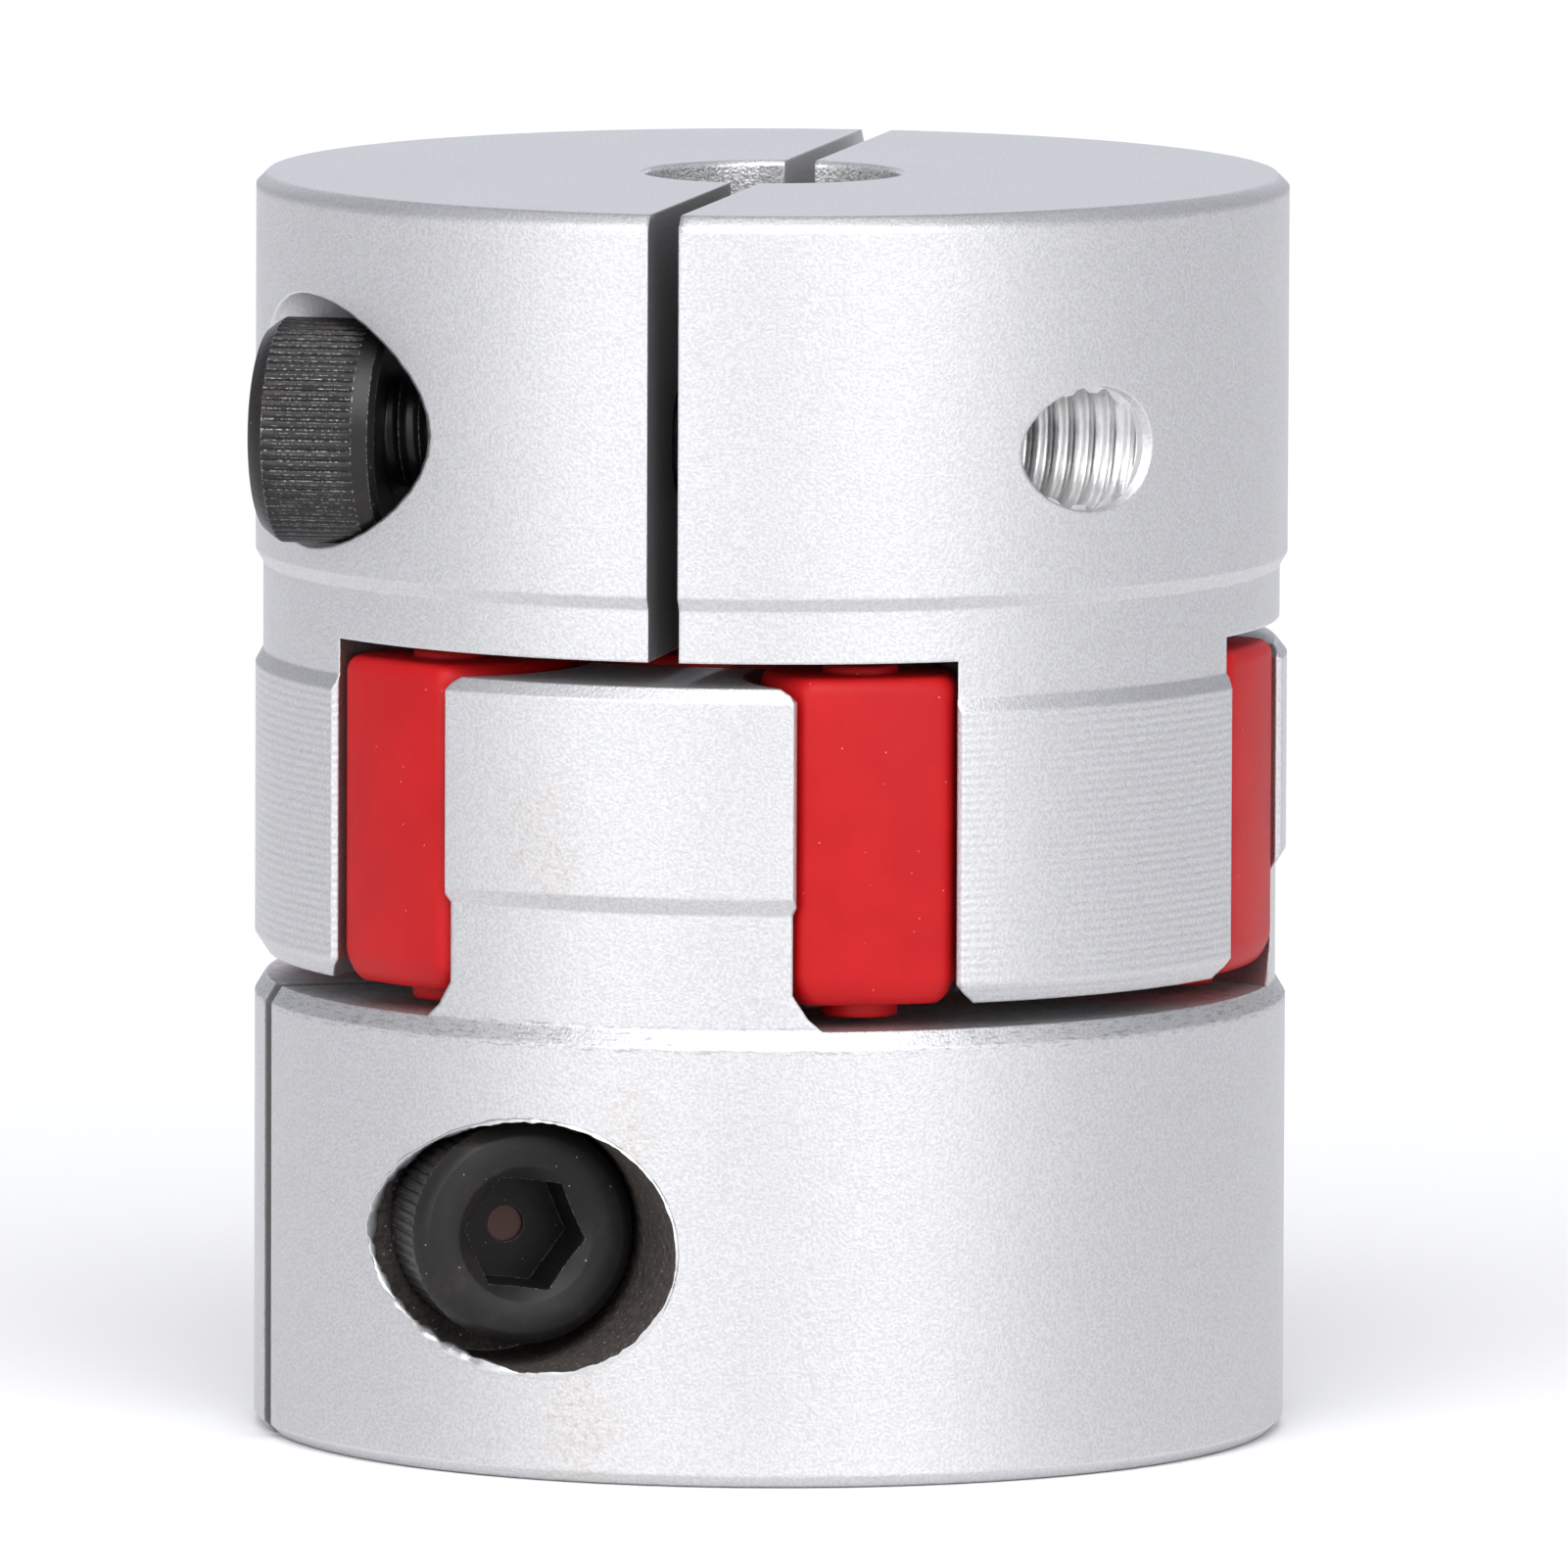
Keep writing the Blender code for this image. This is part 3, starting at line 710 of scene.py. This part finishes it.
def tapped_thread(name, clamp, hub_radius, material, body):
    """The thread of a tapped hole, from the slit to the outside of the hub.

    It is cut in the screw's frame, so that the screw's ridges lie in its grooves.
    """
    root, crest = HOLE_THREAD
    place = clamp.frame @ Matrix.Translation((0.0, 0.0, clamp.under_head))
    outer_end = -clamp.under_head - hub_radius
    inner_end = -clamp.under_head - SLIT_HALF_WIDTH - FLUSH_GAP

    def radius_at(turn, z):
        return crest + (root - crest) * thread_ridge(turn, THREAD_PLAY)

    bm = bmesh.new()
    thread_rod(bm, radius_at, outer_end - CUT_MARGIN, inner_end + CUT_MARGIN, steps=64)
    tap = loose_object("tap", bm, place)
    bm = bmesh.new()
    add_prism(bm, 96, LINING_RADIUS, outer_end, inner_end)
    thread = piece(name, bm, place, material, body)
    cut(thread, tap, "DIFFERENCE")
    bm = bmesh.new()
    add_prism(bm, 384, hub_radius - RIDGE_START, -CUT_MARGIN, 2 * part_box("upper_hub")[1].z)
    cut(thread, loose_object("hub_outside", bm, Matrix.Identity(4)), "INTERSECT")
    shade(thread, THREAD_SHARP_ANGLE)


def counterbore_burr(name, clamp, hub_radius, material, body):
    """The bright ragged rim where the counterbore breaks through the outside of the hub."""
    up = Vector((0.0, 0.0, 1.0))
    across = up.cross(clamp.axis)
    steps, corners = 220, 5
    rings = []
    bm = bmesh.new()
    for step in range(steps):
        angle = 2 * math.pi * step / steps
        outwards = across * math.cos(angle) + up * math.sin(angle)
        foot = clamp.counterbore + outwards * COUNTERBORE_RADIUS
        flat = Vector((foot.x, foot.y, 0.0))
        along = flat.dot(clamp.axis)
        reach = -along + math.sqrt(along**2 + hub_radius**2 - flat.length_squared)
        rim = foot + clamp.axis * reach
        away = Vector((rim.x, rim.y, 0.0)).normalized()
        ragged = noise.noise(rim / MM * 1.3) + 0.5 * noise.noise(rim / MM * 4.0)
        heavy = 1.0 - 0.4 * math.cos(angle) - 0.3 * math.sin(angle)
        size = (BURR_SIZE + BURR_RAGGEDNESS * max(-1.0, min(1.0, 2.0 * ragged))) * heavy * MM
        loop = []
        for corner in range(corners):
            turn = 2 * math.pi * corner / corners
            offset = outwards * math.cos(turn) + away * 0.7 * math.sin(turn)
            loop.append(bm.verts.new(rim + offset * size))
        rings.append(loop)
    skin(bm, rings + rings[:1])
    burr = piece(name, bm, Matrix.Identity(4), material, body)
    shade(burr, BURR_SHARP_ANGLE)


def leg_side(inset):
    """A leg's outline from the ring to the middle of its end, on its +Y side, pointing to +X."""
    radius = FLANK_RADIUS - inset
    centre = Vector((LEG_CROWN, LEG_HALF_WIDTH - FLANK_RADIUS))
    end_radius = LEG_END_RADIUS - inset
    reach, bearing = centre.length, math.atan2(centre.y, centre.x)

    def on_flank(distance):
        cosine = (distance**2 - reach**2 - radius**2) / (2 * radius * reach)
        angle = bearing + math.acos(cosine)
        return centre + Vector((math.cos(angle), math.sin(angle))) * radius

    corner = on_flank(end_radius)
    start, last = STAR_RING_RADIUS - inset / 2, end_radius - LEG_CORNER
    points = [on_flank(start + (last - start) * step / FLANK_STEPS) for step in range(FLANK_STEPS + 1)]
    takeoff = points[-1]
    bend = math.atan2(corner.y, corner.x) - LEG_CORNER / end_radius
    landing = Vector((math.cos(bend), math.sin(bend))) * end_radius
    for step in range(1, CORNER_STEPS):
        share = step / CORNER_STEPS
        points.append(takeoff * (1 - share) ** 2 + corner * 2 * share * (1 - share) + landing * share**2)
    for step in range(END_STEPS + 1):
        turn = bend * (1 - step / END_STEPS)
        points.append(Vector((math.cos(turn), math.sin(turn))) * end_radius)
    return points


def star_outline(inset):
    """The spider in plan: a ring with six crowned legs."""
    side = leg_side(inset)
    mirrored = [Vector((p.x, -p.y)) for p in side]
    leg = mirrored[:-1] + side[::-1]
    pitch = 2 * math.pi / LEG_COUNT
    neck = math.atan2(side[0].y, side[0].x)
    web = []
    for step in range(1, WEB_STEPS):
        turn = neck + (pitch - 2 * neck) * step / WEB_STEPS
        web.append(Vector((math.cos(turn), math.sin(turn))) * (STAR_RING_RADIUS - inset / 2))
    outline = []
    for index in range(LEG_COUNT):
        turned = Matrix.Rotation(math.radians(LEG_ANGLE) + index * pitch, 2)
        outline += [turned @ p for p in leg + web]
    return outline


def build_star(name, material, box, body, node):
    """The elastic star with rounded edges and pips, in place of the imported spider."""
    low, high = box[0].z, box[1].z
    bottom, top = low + FOOT_GAP, high - TOP_GAP
    levels = [(bottom + rise * MM, inset * MM) for rise, inset in STAR_FOOT]
    levels += [(top - drop * MM, inset * MM) for drop, inset in STAR_TOP]
    bm = bmesh.new()
    closed_skin(bm, [[bm.verts.new((p.x, p.y, z)) for p in star_outline(inset)] for z, inset in levels])
    star = piece(name, bm, Matrix.Identity(4), material, body)

    levels = [(PIP_RADIUS - inset * MM, low + rise * MM) for rise, inset in PIP_EDGE]
    levels += [(PIP_RADIUS - inset * MM, high - rise * MM) for rise, inset in PIP_EDGE[::-1]]
    bm = bmesh.new()
    for index in range(LEG_COUNT):
        turn = math.radians(LEG_ANGLE) + index * 2 * math.pi / LEG_COUNT
        middle = (PIP_CIRCLE * math.cos(turn), PIP_CIRCLE * math.sin(turn))
        closed_skin(bm, [ring(bm, radius, z, 32, middle) for radius, z in levels])
    cut(star, loose_object("pips", bm, Matrix.Identity(4)), "UNION")
    bm = bmesh.new()
    add_prism(bm, 128, STAR_EYE_RADIUS, bottom - CUT_MARGIN, top + CUT_MARGIN)
    cut(star, loose_object("eye", bm, Matrix.Identity(4)), "DIFFERENCE")
    shade(star, STAR_SHARP_ANGLE)
    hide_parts(node)


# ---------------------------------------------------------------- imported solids


def smoothing_group():
    """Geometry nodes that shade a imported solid: sharp edges stay, and round faces are truly round."""
    tree = bpy.data.node_groups.new("shade_round", "GeometryNodeTree")
    tree.interface.new_socket("Geometry", in_out="INPUT", socket_type="NodeSocketGeometry")
    tree.interface.new_socket("Geometry", in_out="OUTPUT", socket_type="NodeSocketGeometry")
    graph = Graph(tree)
    start, end = graph.node("NodeGroupInput"), graph.node("NodeGroupOutput")
    joined = graph.node("GeometryNodeMergeByDistance")
    graph.feed(joined.inputs["Geometry"], start.outputs[0])
    joined.inputs["Distance"].default_value = MERGE_DISTANCE
    smooth = graph.node("GeometryNodeSetShadeSmooth", domain="FACE")
    graph.feed(smooth.inputs["Geometry"], joined.outputs[0])

    angle = graph.node("GeometryNodeInputMeshEdgeAngle").outputs["Unsigned Angle"]
    sharp = graph.node("GeometryNodeSetMeshNormal", mode="SHARPNESS")
    graph.feed(sharp.inputs["Mesh"], smooth.outputs[0])
    sharp.inputs["Remove Custom"].default_value = True
    graph.feed(sharp.inputs["Edge Sharpness"], compare(graph, angle, math.radians(SHARP_ANGLE)))

    # On a face that is round about the shafts' axis, the normals point straight away from it.
    place = graph.node("GeometryNodeInputPosition").outputs[0]
    away = graph.vector("NORMALIZE", graph.vector("MULTIPLY", place, (1.0, 1.0, 0.0)))
    normals = graph.node("GeometryNodeInputNormal")
    agrees = graph.vector("DOT_PRODUCT", away, normals.outputs["True Normal"])
    round_face = compare(graph, graph.math("ABSOLUTE", agrees), math.cos(math.radians(ROUND_FACE_ANGLE)))
    on_face = graph.node("GeometryNodeFieldOnDomain", domain="FACE", data_type="BOOLEAN")
    graph.feed(on_face.inputs[0], round_face)
    inwards = graph.node("GeometryNodeFieldOnDomain", domain="FACE", data_type="FLOAT")
    graph.feed(inwards.inputs[0], graph.math("SIGN", agrees))
    signed = graph.node("ShaderNodeVectorMath", operation="SCALE")
    graph.feed(signed.inputs[0], away)
    graph.feed(signed.inputs["Scale"], inwards.outputs[0])
    choice = graph.node("GeometryNodeSwitch", input_type="VECTOR")
    graph.feed(choice.inputs["Switch"], on_face.outputs[0])
    graph.feed(choice.inputs["False"], normals.outputs["Normal"])
    graph.feed(choice.inputs["True"], signed.outputs[0])
    own = graph.node("GeometryNodeSetMeshNormal", mode="FREE", domain="CORNER")
    graph.feed(own.inputs["Mesh"], sharp.outputs[0])
    graph.feed(own.inputs["Custom Normal"], choice.outputs[0])
    graph.feed(end.inputs[0], own.outputs[0])
    return tree


def compare(graph, value, limit):
    """True where the value is over the limit."""
    made = graph.node("FunctionNodeCompare", data_type="FLOAT", operation="GREATER_THAN")
    graph.feed(made.inputs[0], value)
    made.inputs[1].default_value = limit
    return made.outputs[0]


def finish_packed(node, material, smoothing):
    """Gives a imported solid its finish, and smooth shading. Its mesh and place stay as packed."""
    obj = frame["nodes"][node]
    obj.data.materials.clear()
    obj.data.materials.append(material)
    modifier = obj.modifiers.new("Shading", "NODES")
    modifier.node_group = smoothing


# ---------------------------------------------------------------- studio


def area_light(name, azimuth, elevation, distance, size, power, colour):
    """A soft box that faces the coupling. Azimuth 0 is the camera's side, and 90 is +X."""
    turn, rise = math.radians(azimuth), math.radians(elevation)
    towards = Vector((math.sin(turn) * math.cos(rise), -math.cos(turn) * math.cos(rise), math.sin(rise)))
    data = bpy.data.lights.new(name, "AREA")
    data.shape = "RECTANGLE"
    data.size, data.size_y = size
    data.energy = power
    data.color = colour
    light = bpy.data.objects.new(name, data)
    bpy.context.scene.collection.objects.link(light)
    light.location = Vector(CAMERA_AIM) + towards * distance
    light.rotation_euler = towards.to_track_quat("Z", "Y").to_euler()


def build_sky():
    world = bpy.data.worlds.new("studio")
    world.use_nodes = True
    bpy.context.scene.world = world
    background = world.node_tree.nodes["Background"]
    background.inputs["Color"].default_value = SKY_TINT
    graph = Graph(world.node_tree)
    split = graph.node("ShaderNodeSeparateXYZ")
    graph.feed(split.inputs[0], graph.node("ShaderNodeTexCoord").outputs["Generated"])
    light = graph.between(split.outputs["Z"], 0.1, 0.9, HORIZON_LIGHT, ZENITH_LIGHT)
    graph.feed(background.inputs["Strength"], light)


def build_sun():
    sun = bpy.data.lights.new("overhead", "SUN")
    sun.energy = SUN_STRENGTH
    sun.angle = math.radians(SUN_WIDTH)
    sun.specular_factor = SUN_SPECULAR
    overhead = bpy.data.objects.new("overhead", sun)
    bpy.context.scene.collection.objects.link(overhead)
    overhead.rotation_euler = (math.radians(SUN_TILT), 0.0, 0.0)


def build_floor():
    bm = bmesh.new()
    bmesh.ops.create_grid(bm, x_segments=1, y_segments=1, size=FLOOR_HALF_SIZE)
    mesh = bpy.data.meshes.new("floor")
    bm.to_mesh(mesh)
    bm.free()
    mesh.materials.append(floor_paint("floor_paint"))
    floor = bpy.data.objects.new("floor", mesh)
    floor.location.z = -FLOOR_DROP
    bpy.context.scene.collection.objects.link(floor)


def build_camera():
    pitch, roll = math.radians(CAMERA_PITCH), math.radians(CAMERA_ROLL)
    back = Vector((0.0, -math.cos(pitch), math.sin(pitch)))
    level_up = Vector((0.0, math.sin(pitch), math.cos(pitch)))
    right = Vector((math.cos(roll), 0.0, 0.0)) + level_up * math.sin(roll)
    up = level_up * math.cos(roll) - Vector((math.sin(roll), 0.0, 0.0))
    data = bpy.data.cameras.new("camera")
    data.lens = CAMERA_LENS
    data.sensor_width = 36.0
    data.clip_start, data.clip_end = 0.05, 20.0
    camera = bpy.data.objects.new("camera", data)
    bpy.context.scene.collection.objects.link(camera)
    place = Matrix((right, up, back)).transposed().to_4x4()
    place.translation = Vector(CAMERA_AIM) + back * CAMERA_DISTANCE
    camera.matrix_world = place
    bpy.context.scene.camera = camera


def build_studio():
    settings = bpy.context.scene.view_settings
    settings.view_transform = "Standard"
    settings.look = "None"
    build_sky()
    build_sun()
    for softbox in SOFTBOXES:
        area_light(*softbox)
    build_floor()
    build_camera()


# ---------------------------------------------------------------- the coupling


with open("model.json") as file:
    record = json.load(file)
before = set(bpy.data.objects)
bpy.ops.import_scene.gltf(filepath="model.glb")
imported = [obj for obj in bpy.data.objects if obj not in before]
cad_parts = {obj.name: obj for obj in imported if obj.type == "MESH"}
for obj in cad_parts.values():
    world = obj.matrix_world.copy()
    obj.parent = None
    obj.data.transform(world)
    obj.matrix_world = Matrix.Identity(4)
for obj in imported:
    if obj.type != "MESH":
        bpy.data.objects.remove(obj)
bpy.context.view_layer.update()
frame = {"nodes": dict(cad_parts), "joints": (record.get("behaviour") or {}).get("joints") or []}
hub_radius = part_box("lower_hub")[1].x

lower_clamp = clamp_of("lower_clamp_screw", "lower_screw_travel", LOWER_COUNTERBORE_SHIFT)
upper_clamp = clamp_of("upper_clamp_screw", "upper_screw_travel", UPPER_COUNTERBORE_SHIFT)
smoothing = smoothing_group()
lower_finish = aluminium("lower_aluminium", lower_clamp, dirt=True, worn_band=WORN_BAND)
upper_finish = aluminium("upper_aluminium", upper_clamp, turned_band=TURNED_BAND)
finish_packed("lower_hub", lower_finish, smoothing)
finish_packed("upper_hub", upper_finish, smoothing)

cut_thread = bare_thread("cut_thread")
tapped_thread("lower_tapped_thread", lower_clamp, hub_radius, cut_thread, "lower_half")
tapped_thread("upper_tapped_thread", upper_clamp, hub_radius, cut_thread, "upper_half")
# the upper screw's copy has the stronger painted glints on its edges, and more shine
lower_oxide = black_oxide("lower_oxide", 0.0, lower_clamp)
upper_oxide = black_oxide("upper_oxide", 1.0, upper_clamp)
clamp_screw("lower_screw", lower_clamp, lower_oxide, "lower_screw", "lower_clamp_screw")
clamp_screw("upper_screw", upper_clamp, upper_oxide, "upper_screw", "upper_clamp_screw")
counterbore_burr("lower_counterbore_burr", lower_clamp, hub_radius, cut_thread, "lower_half")
build_star("star", red_polyurethane("spider_polyurethane"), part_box("spider"), "elastic_star", "spider")

build_studio()
